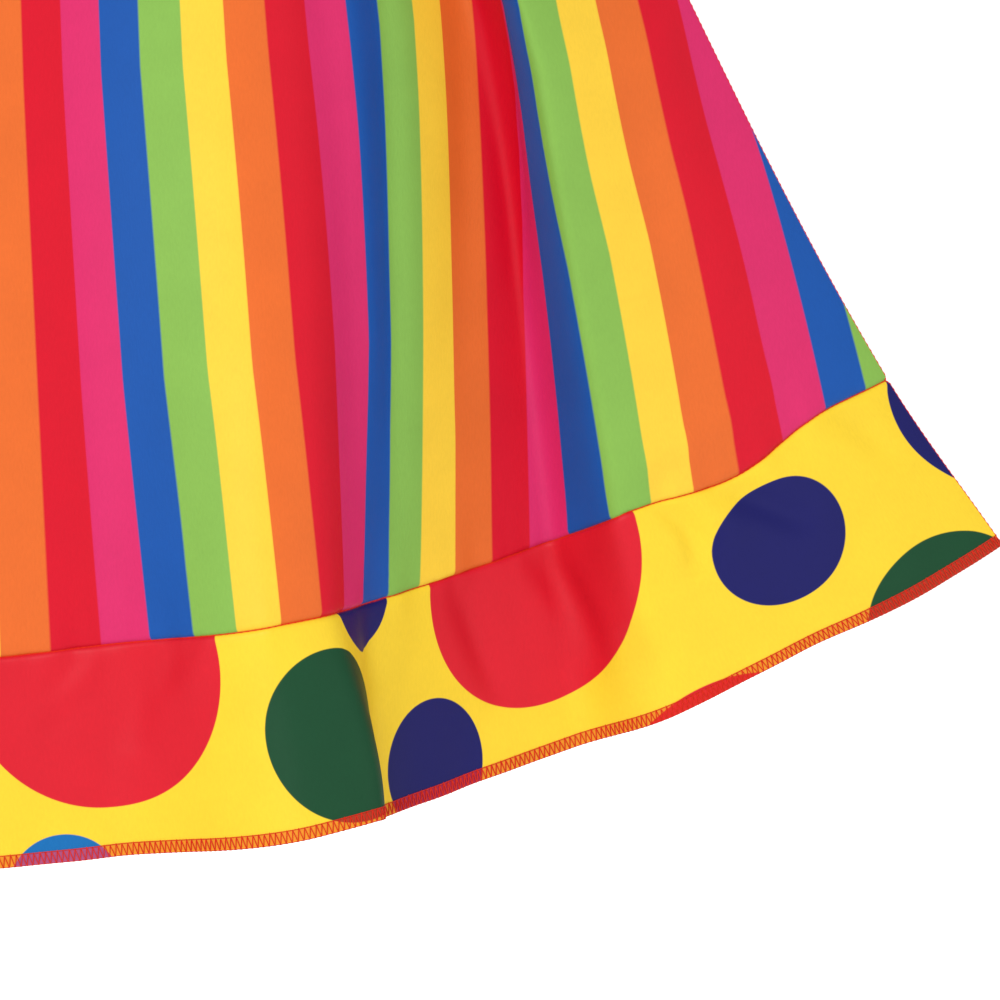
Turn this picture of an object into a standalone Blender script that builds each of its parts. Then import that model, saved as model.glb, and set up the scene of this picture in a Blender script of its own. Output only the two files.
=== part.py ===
"""Clown dress: a sleeveless A-line dress of striped cloth with a separate hem band.

Metres, +Z up, the wearer faces -Y. The origin is the point between the two shoulder
seams at the neck, where the wearer's shoulders hold the dress up.

A point of the cloth is named by two numbers. "level" is its distance below the origin
on the centre line, and "across" is its share of the dress's half width at that level,
from -1 at the wearer's right side seam to +1 at the left one.
"""
from collections import namedtuple
from math import cos, pi, sin, sqrt

import bmesh
import bpy
from mathutils import Vector

# Driving sizes
LENGTH = 0.880            # shoulder to hem at the centre front
BAND_DEPTH = 0.0875       # hem band, from its seam to the hem
WALL = 0.0016             # thickness of the cloth wall
SEAM_GAP = 0.0003         # between two pieces along a seam
NECK_HALF = 0.115         # half width of the neck opening
FRONT_NECK_DROP = 0.120
BACK_NECK_DROP = 0.050
SHOULDER_HALF = 0.160     # half width at the shoulder tips
SHOULDER_DROP = 0.020     # how far the shoulder tip lies below the neck point
UNDERARM = 0.235          # level of the armhole's lowest point
ARMHOLE_HALF = 0.083      # half the armhole's width, seen from the side
SHOULDER_ROUND = 2.5      # exponent of the arch from chest to shoulder seam
FOLD_START = 0.550        # level where the top_ columns of the fold tables hold
FOLD_FADE = 1.6           # exponent by which folds die away above that level

SEAM_LEVEL = LENGTH - BAND_DEPTH

# Columns and rows of the cloth mesh
NECK_COLUMNS = 7          # on each half of the neckline
SHOULDER_COLUMNS = 4
ARMHOLE_COLUMNS = 13
PANEL_ROWS = 20
ROW_CROWDING = 1.7        # above 1, rows crowd towards the shoulders
BAND_ROWS = 3

# One row for each section of the dress, going down.
#   half   half width from side seam to side seam
#   front  depth of the plain outline in front of the side seams' plane, without folds
#   back   the same behind
#   lift   how far the side seams lie above the centre at that level
#   side   how far the side seams lie forward
#   edge   exponent of the outline in plan: 0.5 an ellipse, 1 a lens with pointed sides
Section = namedtuple("Section", "level half front back lift side edge")
SECTIONS = [
    Section(0.1000, 0.200, 0.108, 0.105, 0.000, 0.000, 0.50),
    Section(0.2350, 0.207, 0.124, 0.115, 0.000, 0.000, 0.50),
    Section(0.4000, 0.266, 0.126, 0.125, 0.020, 0.020, 0.65),
    Section(0.5500, 0.323, 0.130, 0.135, 0.048, 0.040, 0.90),
    Section(0.7925, 0.422, 0.140, 0.150, 0.102, 0.024, 0.90),
    Section(0.8800, 0.474, 0.142, 0.158, 0.115, 0.012, 0.90),
]

# One row for each ridge, valley or flank of the flare's folds, from side seam to side seam.
#   top_across, hem_across  where the fold line runs, at FOLD_START and at the hem
#   top_out, hem_out        how far it stands out from the plain outline there
#   seam_rise, hem_rise     how far the cloth is hitched up there, at the band's seam and hem
#   hem_lean                how far it leans towards the wearer's left side at the hem
Fold = namedtuple("Fold", "top_across hem_across top_out hem_out seam_rise hem_rise hem_lean")
FRONT_FOLDS = [
    Fold(-1.000, -1.000,  0.000,  0.000,  0.000,  0.000,  0.000),
    Fold(-0.900, -0.880,  0.002,  0.006,  0.002,  0.000,  0.000),
    Fold(-0.780, -0.720,  0.010,  0.004,  0.000,  0.000,  0.000),
    Fold(-0.660, -0.580, -0.018, -0.034, -0.003, -0.003,  0.000),
    Fold(-0.540, -0.430,  0.002,  0.012,  0.002,  0.000,  0.000),
    Fold(-0.440, -0.330,  0.008,  0.042,  0.004,  0.001,  0.000),
    Fold(-0.020, -0.020,  0.000, -0.003,  0.000, -0.001,  0.000),
    Fold(+0.200,  0.170, -0.002,  0.000,  0.003,  0.001,  0.000),
    Fold(+0.425,  0.328,  0.010,  0.044,  0.005,  0.003,  0.009),
    Fold(+0.490,  0.368,  0.007,  0.040,  0.004,  0.004,  0.019),
    Fold(+0.575,  0.423, -0.006, -0.004, -0.001, -0.004, -0.004),
    Fold(+0.750,  0.600, -0.030, -0.038, -0.005, -0.006, -0.003),
    Fold(+0.800,  0.690,  0.022, -0.002,  0.001, -0.001,  0.000),
    Fold(+0.900,  0.810,  0.010,  0.002, -0.002,  0.003,  0.000),
    Fold(+0.950,  0.920,  0.004,  0.002,  0.005,  0.000,  0.000),
    Fold(+1.000,  1.000,  0.000,  0.000,  0.000,  0.000,  0.000),
]
BACK_FOLDS = [
    Fold(-1.000, -1.000,  0.000,  0.000,  0.000,  0.000,  0.000),
    Fold(-0.840, -0.860,  0.004,  0.008,  0.002,  0.000,  0.000),
    Fold(-0.660, -0.670, -0.010, -0.032, -0.003, -0.003,  0.000),
    Fold(-0.440, -0.470,  0.010,  0.038,  0.004,  0.001,  0.000),
    Fold(-0.250, -0.240, -0.008, -0.022, -0.003, -0.002,  0.000),
    Fold(-0.040, -0.030,  0.006,  0.032,  0.003,  0.001,  0.000),
    Fold(+0.190,  0.210, -0.010, -0.026, -0.003, -0.002,  0.000),
    Fold(+0.410,  0.440,  0.009,  0.036,  0.004,  0.001,  0.000),
    Fold(+0.600,  0.650, -0.014, -0.034, -0.003, -0.003,  0.000),
    Fold(+0.800,  0.840,  0.004,  0.010,  0.002,  0.000,  0.000),
    Fold(+1.000,  1.000,  0.000,  0.000,  0.000,  0.000,  0.000),
]

STRIPED_CLOTH = ("striped polyester", (0.86, 0.18, 0.10, 1.0), 0.75)
SPOTTED_CLOTH = ("spotted polyester", (1.00, 0.75, 0.02, 1.0), 0.70)


def smooth_value(stations, values, at):
    """Read a table between its rows, on a smooth line that never swings past them."""
    if at <= stations[0]:
        return values[0]
    if at >= stations[-1]:
        return values[-1]
    gaps = [b - a for a, b in zip(stations, stations[1:])]
    slopes = [(b - a) / gap for a, b, gap in zip(values, values[1:], gaps)]
    tangents = [slopes[0]]
    for i in range(1, len(slopes)):
        if slopes[i - 1] * slopes[i] > 0:
            before = 2 * gaps[i] + gaps[i - 1]
            after = gaps[i] + 2 * gaps[i - 1]
            tangents.append((before + after) / (before / slopes[i - 1] + after / slopes[i]))
        else:
            tangents.append(0.0)
    tangents.append(slopes[-1])
    i = max(k for k, station in enumerate(stations[:-1]) if station <= at)
    q = (at - stations[i]) / gaps[i]
    return ((1 + 2 * q) * (1 - q) ** 2 * values[i]
            + q * (1 - q) ** 2 * gaps[i] * tangents[i]
            + q * q * (3 - 2 * q) * values[i + 1]
            + q * q * (q - 1) * gaps[i] * tangents[i + 1])


def section_at(level):
    """The section of the dress at any level."""
    levels = [section.level for section in SECTIONS]
    return Section(level, *(smooth_value(levels, [section[k] for section in SECTIONS], level)
                            for k in range(1, len(Section._fields))))


def fold_shift(folds, across, level):
    """How far the folds move a point: sideways, outwards and upwards."""
    down = (level - FOLD_START) / (LENGTH - FOLD_START)
    if down < 0:
        share = max(0.0, (level - UNDERARM) / (FOLD_START - UNDERARM)) ** FOLD_FADE
        lines = [fold.top_across for fold in folds]
        return 0.0, smooth_value(lines, [fold.top_out * share for fold in folds], across), 0.0
    lines = [fold.top_across + (fold.hem_across - fold.top_across) * down for fold in folds]
    outs = [fold.top_out + (fold.hem_out - fold.top_out) * down for fold in folds]
    lean = 0.0
    if level > SEAM_LEVEL:
        q = (level - SEAM_LEVEL) / BAND_DEPTH
        rises = [fold.seam_rise + (fold.hem_rise - fold.seam_rise) * q for fold in folds]
        lean = smooth_value(lines, [fold.hem_lean * sin(q * pi / 2) for fold in folds], across)
    else:
        q = (level - FOLD_START) / (SEAM_LEVEL - FOLD_START)
        rises = [fold.seam_rise * q * q for fold in folds]
    return lean, smooth_value(lines, outs, across), smooth_value(lines, rises, across)


def shoulder_arch(x, level):
    """Share of the chest's depth that is left at a point between underarm and shoulder."""
    slope = SHOULDER_DROP / (SHOULDER_HALF - NECK_HALF)
    shoulder_level = slope * (abs(x) - NECK_HALF)
    q = min(1.0, max(0.0, (UNDERARM - level) / (UNDERARM - shoulder_level)))
    return (1 - q ** SHOULDER_ROUND) ** (1 / SHOULDER_ROUND)


def cloth_point(folds, facing, across, level):
    """A point on the outer face; facing is -1 on the front and +1 on the back."""
    section = section_at(level)
    depth = section.front if facing < 0 else section.back
    side = -facing * section.side
    outline = side + (depth - side) * max(0.0, 1 - across * across) ** section.edge
    lean, out, rise = fold_shift(folds, across, level)
    x = across * section.half + lean
    y = facing * (outline + out) * shoulder_arch(x, level)
    return Vector((x, y, section.lift * across * across + rise - level))


def top_edge(neck_drop):
    """Points (across, level) of half the top edge: neckline, shoulder seam, armhole."""
    points = []
    for i in range(NECK_COLUMNS):
        q = i / NECK_COLUMNS
        points.append((NECK_HALF * q, neck_drop * (1 - q * q)))
    for i in range(SHOULDER_COLUMNS):
        q = i / SHOULDER_COLUMNS
        points.append((NECK_HALF + (SHOULDER_HALF - NECK_HALF) * q, SHOULDER_DROP * q))
    underarm = section_at(UNDERARM)
    inset = underarm.half * sqrt(1 - (ARMHOLE_HALF / underarm.front) ** 2)
    for i in range(ARMHOLE_COLUMNS + 1):
        angle = pi / 2 * i / ARMHOLE_COLUMNS
        x = (underarm.half * sqrt(1 - (ARMHOLE_HALF * cos(angle) / underarm.front) ** 2)
             + (SHOULDER_HALF - inset) * (1 - sin(angle)) ** 2)
        points.append((x, SHOULDER_DROP + (UNDERARM - SHOULDER_DROP) * sin(angle)))
    return [(x / section_at(level).half, level) for x, level in points]


def column_across(folds, share, level):
    """Where a column of the mesh runs: the columns follow the fold lines."""
    hem_lines = [fold.hem_across for fold in folds]
    top = smooth_value(hem_lines, [fold.top_across for fold in folds], share)
    down = min(1.0, max(0.0, (level - FOLD_START) / (LENGTH - FOLD_START)))
    return top + (share - top) * down


def cloth_rows(folds, facing, neck_drop):
    """The outer face as rows of points, from the top edge to the hem.

    Row PANEL_ROWS lies on the band's seam.
    """
    half_edge = top_edge(neck_drop)
    last = len(half_edge) - 1
    rows = []
    for r in range(PANEL_ROWS + BAND_ROWS + 1):
        row = []
        for c in range(-last, last + 1):
            share = c / last
            edge_across, edge_level = half_edge[abs(c)]
            if c < 0:
                edge_across = -edge_across
            if r <= PANEL_ROWS:
                q = (r / PANEL_ROWS) ** ROW_CROWDING
                level = edge_level + (SEAM_LEVEL - edge_level) * q
            else:
                level = SEAM_LEVEL + BAND_DEPTH * (r - PANEL_ROWS) / BAND_ROWS
            settle = min(1.0, max(0.0, (level - edge_level) / (FOLD_START - edge_level)))
            across = edge_across + (column_across(folds, share, level) - edge_across) * settle
            row.append(cloth_point(folds, facing, across, level))
        rows.append(row)
    return rows


def row_normals(rows, facing):
    """Outward directions at the points of the outer face.

    Along the side seams and the shoulder seams they keep to the seam's own plane, so that
    two walls meet there edge to edge.
    """
    last_row = len(rows) - 1
    last = len(rows[0]) - 1
    shoulder = range(NECK_COLUMNS, NECK_COLUMNS + SHOULDER_COLUMNS + 1)
    normals = []
    for r, row in enumerate(rows):
        line = []
        for c in range(last + 1):
            over = row[min(c + 1, last)] - row[max(c - 1, 0)]
            down = rows[min(r + 1, last_row)][c] - rows[max(r - 1, 0)][c]
            normal = over.cross(down) * facing
            on_shoulder = r == 0 and abs(c - last // 2) in shoulder
            if c in (0, last) or on_shoulder:
                normal.y = 0.0
            line.append(normal.normalized())
        normals.append(line)
    return normals


def build_wall(name, outer, normals, finish):
    """Give rows of points a wall's thickness and close it round the edges."""
    bm = bmesh.new()
    faces = [[[bm.verts.new(point - normal * depth) for point, normal in zip(row, line)]
              for row, line in zip(outer, normals)] for depth in (0.0, WALL)]
    last_row = len(outer) - 1
    last = len(outer[0]) - 1
    for grid in faces:
        for r in range(last_row):
            for c in range(last):
                bm.faces.new((grid[r][c], grid[r][c + 1], grid[r + 1][c + 1], grid[r + 1][c]))
    loops = [[grid[0][c] for c in range(last)]
             + [grid[r][last] for r in range(last_row)]
             + [grid[last_row][c] for c in range(last, 0, -1)]
             + [grid[r][0] for r in range(last_row, 0, -1)] for grid in faces]
    for i in range(len(loops[0])):
        k = (i + 1) % len(loops[0])
        bm.faces.new((loops[0][i], loops[0][k], loops[1][k], loops[1][i]))
    bmesh.ops.recalc_face_normals(bm, faces=bm.faces)
    mesh = bpy.data.meshes.new(name)
    bm.to_mesh(mesh)
    bm.free()
    mesh.shade_smooth()
    mesh.materials.append(finish)
    bpy.context.collection.objects.link(bpy.data.objects.new(name, mesh))


def make_finish(cloth):
    """A Principled material for one kind of cloth."""
    name, colour, roughness = cloth
    material = bpy.data.materials.new(name)
    material.use_nodes = True
    shader = material.node_tree.nodes["Principled BSDF"]
    shader.inputs["Base Color"].default_value = colour
    shader.inputs["Roughness"].default_value = roughness
    shader.inputs["Metallic"].default_value = 0.0
    return material


def build_side(name, folds, facing, neck_drop, striped, spotted):
    """The panel and the hem band of one side of the dress."""
    rows = cloth_rows(folds, facing, neck_drop)
    normals = row_normals(rows, facing)
    half_gap = SEAM_GAP / 2
    last = len(rows[0]) - 1
    shoulder = range(NECK_COLUMNS, NECK_COLUMNS + SHOULDER_COLUMNS + 1)
    for r, row in enumerate(rows):
        for c in range(last + 1):
            if c in (0, last) or (r == 0 and abs(c - last // 2) in shoulder):
                row[c].y += facing * half_gap
    above_seam, below_seam = [], []
    for c, point in enumerate(rows[PANEL_ROWS]):
        down = (rows[PANEL_ROWS + 1][c] - rows[PANEL_ROWS - 1][c]).normalized()
        above_seam.append(point - down * half_gap)
        below_seam.append(point + down * half_gap)
    build_wall(name + "_panel", rows[:PANEL_ROWS] + [above_seam],
               normals[:PANEL_ROWS + 1], striped)
    build_wall(name + "_hem_band", [below_seam] + rows[PANEL_ROWS + 1:],
               normals[PANEL_ROWS:], spotted)


def main():
    """Clear the scene and build the two sides of the dress."""
    for item in list(bpy.data.objects):
        bpy.data.objects.remove(item, do_unlink=True)
    striped = make_finish(STRIPED_CLOTH)
    spotted = make_finish(SPOTTED_CLOTH)
    build_side("front", FRONT_FOLDS, -1, FRONT_NECK_DROP, striped, spotted)
    build_side("back", BACK_FOLDS, 1, BACK_NECK_DROP, striped, spotted)


main()
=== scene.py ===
"""Clown dress: printed cloth, sewing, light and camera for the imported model.

Metres, in the model's own frame: +Z up, the wearer faces -Y, and the origin lies between
the two shoulder seams at the neck. A point of the cloth is named by "across", its share of
the dress's half width from -1 to +1, and "level", its distance below the origin on the
centre line. The print has its own pair: "stripe", counted in stripes from the border of
orange and red beside the centre front, and "run", the distance above the hem band's seam.
"""

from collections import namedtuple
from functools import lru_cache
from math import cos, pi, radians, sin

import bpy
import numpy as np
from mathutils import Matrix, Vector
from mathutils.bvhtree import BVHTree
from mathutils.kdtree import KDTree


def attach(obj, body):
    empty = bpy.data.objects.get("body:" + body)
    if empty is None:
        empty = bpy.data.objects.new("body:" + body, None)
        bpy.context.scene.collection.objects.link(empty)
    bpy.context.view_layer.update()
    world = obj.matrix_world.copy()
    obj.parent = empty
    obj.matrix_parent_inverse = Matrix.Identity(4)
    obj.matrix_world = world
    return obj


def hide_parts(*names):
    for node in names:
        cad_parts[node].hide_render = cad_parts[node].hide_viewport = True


bl_info = {
    "name": "Clown dress",
    "version": (1, 0, 0),
    "blender": (4, 5, 0),
    "location": "View3D > Sidebar > Dress",
    "description": "Dresses the packed clown dress in printed cloth, sewing and soft light",
    "category": "Object",
}

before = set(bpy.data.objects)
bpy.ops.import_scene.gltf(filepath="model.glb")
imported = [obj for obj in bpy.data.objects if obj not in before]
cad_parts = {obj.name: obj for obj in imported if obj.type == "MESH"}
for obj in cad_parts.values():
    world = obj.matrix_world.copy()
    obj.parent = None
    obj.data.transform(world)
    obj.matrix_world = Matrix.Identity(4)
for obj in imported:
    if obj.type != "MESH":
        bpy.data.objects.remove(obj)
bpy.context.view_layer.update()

# ---- The dress's form: the sizes, sections and folds of the solids ----
LENGTH = 0.880            # shoulder to hem at the centre front
BAND_DEPTH = 0.0875       # hem band, from its seam to the hem
SEAM_GAP = 0.0003         # between two pieces along a seam
NECK_HALF = 0.115         # half width of the neck opening
FRONT_NECK_DROP = 0.120
BACK_NECK_DROP = 0.050
SHOULDER_HALF = 0.160     # half width at the shoulder tips
SHOULDER_DROP = 0.020     # how far the shoulder tip lies below the neck point
UNDERARM = 0.235          # level of the armhole's lowest point
ARMHOLE_HALF = 0.083      # half the armhole's width, seen from the side
SHOULDER_ROUND = 2.5      # exponent of the arch from chest to shoulder seam
FOLD_START = 0.550        # level where the top_ columns of the fold tables hold
FOLD_FADE = 1.6           # exponent by which folds die away above that level
FOLD_BLEND = 0.05         # how far the change at that level is smoothed, up and down
SEAM_LEVEL = LENGTH - BAND_DEPTH

# The plain outline at each level: its half width, the depths of front and back, how far the
# side seams are lifted and stand forwards, and the exponent of its curve
Section = namedtuple("Section", "level half front back lift side edge")
SECTIONS = (
    Section(0.1000, 0.200, 0.108, 0.105, 0.000, 0.000, 0.50),
    Section(0.2350, 0.207, 0.124, 0.115, 0.000, 0.000, 0.50),
    Section(0.4000, 0.266, 0.126, 0.125, 0.020, 0.020, 0.65),
    Section(0.5500, 0.323, 0.130, 0.135, 0.048, 0.040, 0.90),
    Section(0.7925, 0.422, 0.140, 0.150, 0.102, 0.024, 0.90),
    Section(0.8800, 0.474, 0.142, 0.158, 0.115, 0.012, 0.90),
)

# Lines along the folds, from a place across at FOLD_START to one at the hem: how far the
# cloth stands out at both, is hitched up at the band's seam and the hem, and leans to the
# wearer's left. They are those of the solids, apart from five rises that are up to 4 mm off.
Fold = namedtuple("Fold", "top_across hem_across top_out hem_out seam_rise hem_rise hem_lean")
FRONT_FOLDS = (
    Fold(-1.000, -1.000,  0.000,  0.000,  0.000,  0.000,  0.000),
    Fold(-0.900, -0.880,  0.002,  0.006,  0.002,  0.000,  0.000),
    Fold(-0.780, -0.720,  0.010,  0.004,  0.000,  0.000,  0.000),
    Fold(-0.660, -0.580, -0.018, -0.034, -0.003, -0.003,  0.000),
    Fold(-0.540, -0.430,  0.002,  0.012,  0.002,  0.000,  0.000),
    Fold(-0.440, -0.330,  0.008,  0.042,  0.004,  0.001,  0.000),
    Fold(-0.020, -0.020,  0.000, -0.003,  0.000, -0.001,  0.000),
    Fold(+0.200,  0.170, -0.002,  0.000,  0.003,  0.001,  0.000),
    Fold(+0.425,  0.328,  0.010,  0.044,  0.005,  0.005,  0.009),
    Fold(+0.490,  0.368,  0.007,  0.040,  0.004,  0.008,  0.019),
    Fold(+0.575,  0.423, -0.006, -0.004, -0.001, -0.005, -0.004),
    Fold(+0.750,  0.600, -0.030, -0.038, -0.005, -0.006, -0.003),
    Fold(+0.800,  0.690,  0.022, -0.002,  0.001, -0.001,  0.000),
    Fold(+0.900,  0.810,  0.010,  0.002, -0.005,  0.003,  0.000),
    Fold(+0.950,  0.920,  0.004,  0.002,  0.003,  0.000,  0.000),
    Fold(+1.000,  1.000,  0.000,  0.000,  0.000,  0.000,  0.000),
)
BACK_FOLDS = (
    Fold(-1.000, -1.000,  0.000,  0.000,  0.000,  0.000,  0.000),
    Fold(-0.840, -0.860,  0.004,  0.008,  0.002,  0.000,  0.000),
    Fold(-0.660, -0.670, -0.010, -0.032, -0.003, -0.003,  0.000),
    Fold(-0.440, -0.470,  0.010,  0.038,  0.004,  0.001,  0.000),
    Fold(-0.250, -0.240, -0.008, -0.022, -0.003, -0.002,  0.000),
    Fold(-0.040, -0.030,  0.006,  0.032,  0.003,  0.001,  0.000),
    Fold(+0.190,  0.210, -0.010, -0.026, -0.003, -0.002,  0.000),
    Fold(+0.410,  0.440,  0.009,  0.036,  0.004,  0.001,  0.000),
    Fold(+0.600,  0.650, -0.014, -0.034, -0.003, -0.003,  0.000),
    Fold(+0.800,  0.840,  0.004,  0.010,  0.002,  0.000,  0.000),
    Fold(+1.000,  1.000,  0.000,  0.000,  0.000,  0.000,  0.000),
)

# Creases that the solids don't have. Each runs from one place of the print to another and
# stands up (+) or lies down (-) at its middle; bend bows it sideways.
Crease = namedtuple("Crease", "stripe_a run_a stripe_b run_b half_width height bend")
FRONT_CREASES = (
    # Short troughs and ridges that hang from the band's seam
    Crease(16.25, -0.001, 16.46, -0.037, 0.0051, -0.0032, 0.0065),
    Crease(17.55, +0.001, 18.90, -0.040, 0.0060, -0.0026, 0.001),
    Crease(10.90, +0.001, 11.95, -0.060, 0.0072, -0.0030, 0.001),
    Crease(12.95, +0.001, 14.05, -0.062, 0.0066, -0.0033, 0.0045),
    Crease(12.25, -0.003, 13.35, -0.052, 0.0104, +0.0016, 0.002),
    Crease(14.90, -0.044, 15.30, -0.084, 0.0092, -0.0019, 0.000),
    Crease(17.10, -0.004, 17.50, -0.030, 0.0062, +0.0014, 0.001),
    Crease(+0.60, +0.002, -0.35, -0.034, 0.0062, -0.0015, 0.001),
    Crease(+2.10, +0.001, +1.40, -0.047, 0.0078, -0.0018, -0.002),
    Crease(+3.45, +0.001, +2.75, -0.026, 0.0040, +0.0013, 0.000),
    Crease(+2.75, +0.001, +2.05, -0.024, 0.0040, -0.0015, 0.000),
    Crease(+1.20, +0.001, -0.60, -0.032, 0.0052, +0.0014, 0.001),
    Crease(+7.90, +0.001, +8.35, -0.038, 0.0074, -0.0016, 0.002),
    Crease(20.10, +0.002, 20.95, -0.036, 0.0069, -0.0021, 0.002),
    Crease(22.40, +0.001, 22.80, -0.048, 0.0078, -0.0019, 0.001),
    Crease(-3.20, +0.001, -4.20, -0.049, 0.0072, -0.0025, 0.002),
    Crease(-5.80, +0.001, -5.50, -0.030, 0.0057, -0.0018, 0.001),
    Crease(-9.30, +0.001, -10.70, -0.060, 0.0081, -0.0030, 0.003),
    Crease(-12.4, +0.001, -13.00, -0.036, 0.0062, -0.0023, -0.001),
    Crease(-11.1, -0.004, -12.10, -0.052, 0.0101, +0.0015, 0.001),
    Crease(-15.9, +0.002, -17.30, -0.063, 0.0074, -0.0029, 0.004),
    Crease(-19.1, +0.001, -19.50, -0.028, 0.0057, -0.0019, 0.000),
    Crease(-22.3, +0.001, -23.60, -0.051, 0.0078, -0.0025, 0.002),
    # Soft drags above the seam and across the skirt
    Crease(14.60, +0.010, 19.60, +0.026, 0.0075, +0.0011, 0.003),
    Crease(16.10, +0.004, 17.10, +0.019, 0.0042, -0.0009, 0.001),
    Crease(+3.20, +0.030, +5.40, +0.150, 0.0150, -0.0013, 0.004),
    Crease(+8.05, +0.004, +8.05, +0.330, 0.0085, +0.0022, 0.000),
    Crease(+9.10, +0.002, +9.10, +0.340, 0.0080, -0.0024, 0.001),
    Crease(12.15, +0.110, 12.10, +0.400, 0.0085, +0.0022, 0.000),
    Crease(13.10, +0.110, 13.10, +0.330, 0.0080, -0.0022, 0.000),
    Crease(11.20, +0.060, 12.40, +0.240, 0.0160, -0.0016, 0.005),
    Crease(18.90, +0.050, 18.20, +0.210, 0.0140, +0.0015, 0.004),
    Crease(-2.60, +0.045, -1.20, +0.190, 0.0150, -0.0012, 0.003),
    Crease(-8.40, +0.020, -6.90, +0.170, 0.0150, -0.0017, 0.006),
    Crease(-14.2, +0.055, -15.0, +0.230, 0.0160, +0.0015, 0.004),
    Crease(-20.3, +0.030, -19.1, +0.180, 0.0140, -0.0015, 0.004),
    # Drags from the underarms and the shoulders
    Crease(+8.60, +0.545, +2.40, +0.470, 0.0120, -0.0022, 0.008),
    Crease(+8.90, +0.505, +4.60, +0.400, 0.0110, -0.0018, 0.006),
    Crease(-13.2, +0.545, -8.00, +0.485, 0.0120, -0.0021, 0.007),
    Crease(-13.5, +0.500, -9.80, +0.390, 0.0110, -0.0017, 0.005),
)
BACK_CREASES = (
    Crease(-8.20, +0.001, -6.90, -0.058, 0.0078, -0.0029, 0.003),
    Crease(-5.10, +0.001, -5.60, -0.034, 0.0060, -0.0021, 0.001),
    Crease(-2.30, +0.001, -1.40, -0.050, 0.0072, -0.0025, 0.002),
    Crease(+1.20, +0.001, +0.80, -0.028, 0.0057, -0.0018, 0.000),
    Crease(+4.60, +0.002, +5.90, -0.061, 0.0081, -0.0030, 0.004),
    Crease(+8.00, +0.001, +8.40, -0.038, 0.0062, -0.0023, 0.001),
    Crease(11.70, +0.001, 12.90, -0.054, 0.0074, -0.0027, 0.003),
    Crease(15.90, +0.001, 15.40, -0.031, 0.0060, -0.0019, 0.001),
    Crease(19.20, +0.001, 20.40, -0.047, 0.0072, -0.0024, 0.002),
    Crease(-12.6, +0.001, -13.7, -0.057, 0.0078, -0.0029, 0.003),
    Crease(-17.0, +0.001, -16.6, -0.033, 0.0060, -0.0021, 0.001),
    Crease(-20.8, +0.001, -21.9, -0.049, 0.0072, -0.0024, 0.002),
    Crease(-9.60, +0.040, -8.10, +0.210, 0.0150, -0.0016, 0.005),
    Crease(-2.90, +0.020, -3.80, +0.160, 0.0150, +0.0014, 0.004),
    Crease(+3.40, +0.055, +4.60, +0.240, 0.0160, -0.0017, 0.006),
    Crease(11.20, +0.030, 10.30, +0.180, 0.0140, -0.0014, 0.003),
    Crease(17.60, +0.045, 16.80, +0.200, 0.0150, +0.0015, 0.004),
    Crease(-15.8, +0.025, -14.9, +0.190, 0.0140, -0.0015, 0.004),
    Crease(12.00, +0.560, +6.20, +0.500, 0.0120, -0.0021, 0.007),
    Crease(12.30, +0.515, +8.40, +0.410, 0.0110, -0.0016, 0.005),
    Crease(-9.30, +0.560, -4.10, +0.490, 0.0120, -0.0020, 0.008),
)

# How far the hanging folds draw the print to the wearer's left, in stripes: in the hem band,
# and in the panel at the band's seam, halfway up the skirt and at the hip
Pull = namedtuple("Pull", "stripe in_band at_seam mid_skirt at_hip")
PULL_HEIGHTS = (0.00, 0.11, 0.24, 0.45)     # heights of these three, and where it has died away
FRONT_PULLS = (
    Pull(-3.0,  0.00,  0.00,  0.00,  0.00),
    Pull(+0.0,  0.10,  0.10,  0.03, -0.05),
    Pull(+3.0,  0.14,  0.23, -0.16, -0.30),
    Pull(+6.0,  0.08,  0.10, -0.17, -0.20),
    Pull(+8.0, -0.08, -0.15,  0.25,  0.12),
    Pull(10.0, -0.18, -0.27,  0.05,  0.36),
    Pull(12.0, -0.20, -0.26, -0.06,  0.10),
    Pull(13.3, -0.17, -0.33, -0.18,  0.38),
    Pull(13.6, -0.16, -0.34, -0.28, -0.35),
    Pull(14.6, -0.10,  0.05, -0.16, -0.60),
    Pull(17.0,  0.10,  0.07,  0.10, -0.15),
    Pull(19.5,  0.50,  0.50,  0.45,  0.50),
    Pull(21.0,  0.80,  0.80,  0.80,  0.70),
    Pull(22.5,  1.00,  1.00,  1.00,  0.90),
)
STRAIGHT_GRAIN = tuple(Pull(stripe, 0.0, 0.0, 0.0, 0.0) for stripe in (-30.0, 0.0, 30.0))

# facing is the sign of y. The starts shift the stripes and the spots, in stripes.
Side = namedtuple("Side", "name folds creases pulls facing neck_drop stripe_start spot_start")
FRONT = Side("front", FRONT_FOLDS, FRONT_CREASES, FRONT_PULLS, -1, FRONT_NECK_DROP, 2.65, 0.0)
BACK = Side("back", BACK_FOLDS, BACK_CREASES, STRAIGHT_GRAIN, 1, BACK_NECK_DROP, -1.35, 9.0)

# ---- The mesh of the cloth ----
# Columns of the solids on the neckline, the shoulder seam and the armhole of each half
NECK_COLUMNS = 7
SHOULDER_COLUMNS = 4
ARMHOLE_COLUMNS = 13
TIP_COLUMN = NECK_COLUMNS + SHOULDER_COLUMNS
HALF_COLUMNS = TIP_COLUMN + ARMHOLE_COLUMNS
COLUMN_SPLITS = 6         # columns of this cloth for each one of the solids
PANEL_ROWS = 138
BAND_ROWS = 36
ROW_CROWDING = 1.15       # above 1, rows crowd towards the shoulders
TIP_RATE = 0.6            # below 1, columns at the shoulder tip turn briskly to the fold lines
EDGE_STEPS = (0.0006, 0.0014, 0.0024)   # extra rows and columns beside a seam
ROW_CLEARANCE = 0.00045   # an even row nearer than this to an extra one is left out
PANEL_REACH = 0.65        # a panel's usual length from its top edge to the band's seam
HALF_REACH = 0.42         # a panel's usual width from centre to side seam
SIDE_FADE = 0.030         # creases die away over this width beside a side seam
THIN_REACH = 0.006        # the wall thins over this width beside a side seam,
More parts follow.
